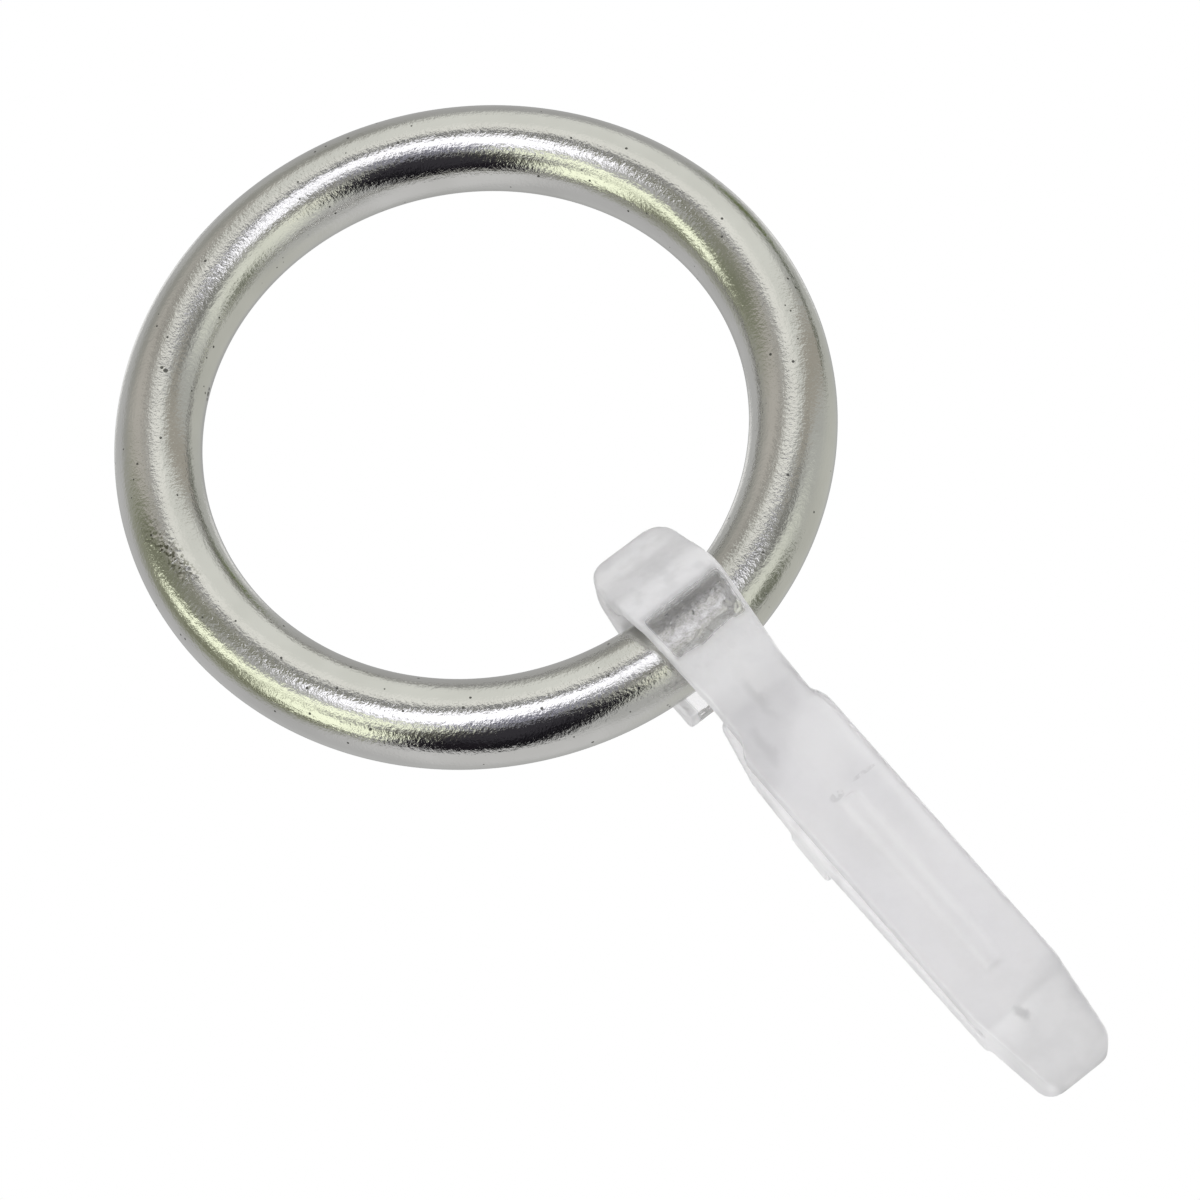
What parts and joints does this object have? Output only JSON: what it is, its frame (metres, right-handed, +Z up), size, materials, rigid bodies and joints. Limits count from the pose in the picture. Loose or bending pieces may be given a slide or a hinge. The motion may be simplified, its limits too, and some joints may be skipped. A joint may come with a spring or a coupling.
{
  "type": "curtain ring with hook",
  "caption": "Closed ring of round plated wire with a clear plastic curtain hook clipped on it; the hook's flat legs hold the curtain's heading tape.",
  "frame": {"origin": "middle of the ring, on its axis and in its middle plane", "axes": "+Y along the ring's axis, away from the front; +Z up, with the hook hanging down along -Z; +X to the right as seen from the front, the side to which the hook has slid"},
  "size_m": [0.037, 0.0072, 0.0642],
  "materials": {
    "plated_wire": "nickel-plated steel wire, fairly bright, with fine draw marks, small dark pits and rubbed patches",
    "clear_plastic": "clear, slightly milky moulded plastic with soft flow bands inside"
  },
  "bodies": {
    "ring": {"ring": "plated_wire"},
    "hook": {"hook": "clear_plastic"}
  },
  "joints": [
    {"name": "hook_swing", "type": "hinge", "parent": "ring", "child": "hook", "pos_m": [0.00155, 0, -0.01594], "axis": [1, 0, 0], "range_deg": [-165, 165]}
  ]
}
